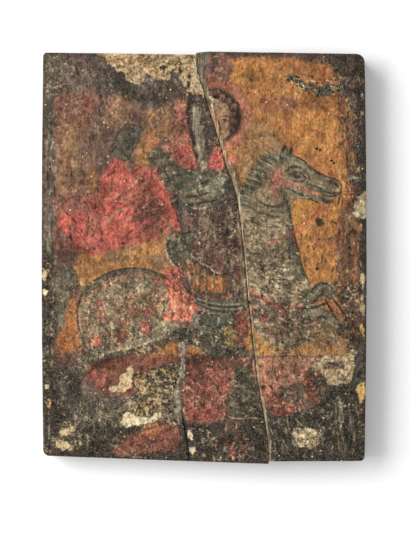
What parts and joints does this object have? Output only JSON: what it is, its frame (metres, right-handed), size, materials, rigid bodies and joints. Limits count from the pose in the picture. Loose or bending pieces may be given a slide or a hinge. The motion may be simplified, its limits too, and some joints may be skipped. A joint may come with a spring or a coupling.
{
  "type": "painted icon panel",
  "caption": "Old painted wooden icon panel, split along its grain and rejoined with a slip, with a mounted rider painted on its face.",
  "frame": {"origin": "middle of the underside of the panel as it lies on its back", "axes": "+Z out of the painted face, +Y up the picture, +X to the right of the picture"},
  "size_m": [0.26, 0.3299, 0.0232],
  "materials": {
    "left_paint": "worn tempera paint and old varnish over a chalk ground on wood",
    "right_paint": "worn tempera paint and old varnish over a chalk ground on wood"
  },
  "bodies": {
    "root": {"board_left": "left_paint", "board_right": "right_paint"}
  },
  "joints": []
}
